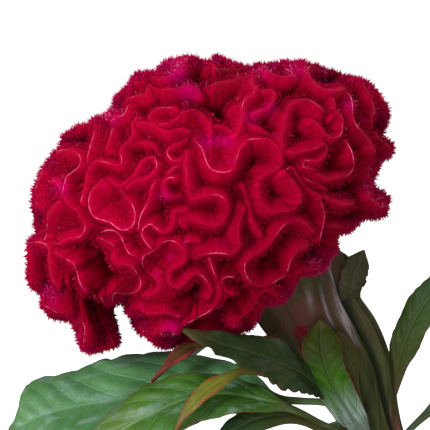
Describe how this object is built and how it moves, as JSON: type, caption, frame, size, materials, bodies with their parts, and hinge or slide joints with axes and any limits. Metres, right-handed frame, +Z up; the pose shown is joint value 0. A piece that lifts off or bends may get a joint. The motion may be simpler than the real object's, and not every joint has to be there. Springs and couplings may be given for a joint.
{
  "type": "potted cockscomb",
  "caption": "Crested cockscomb: a crimson velvety crest of winding folds on a leaning, flattened, leafy stem, in a plain clay pot of soil.",
  "frame": {"origin": "centre of the pot's flat base", "axes": "+Z up along the pot's axis, -Y toward the side that the crest's face looks to, +X to the right seen from there"},
  "size_m": [0.2102, 0.1329, 0.2869],
  "materials": {
    "clay": "matt unglazed terracotta",
    "soil": "rough crumbly potting soil",
    "foliage": "satin green leaves and ribbed stem with red-brown margins",
    "velvet": "crimson velvet with bright crest lines"
  },
  "bodies": {
    "root": {"pot": "clay", "soil": "soil", "leafy_stem": "foliage", "crest": "velvet"}
  },
  "joints": []
}
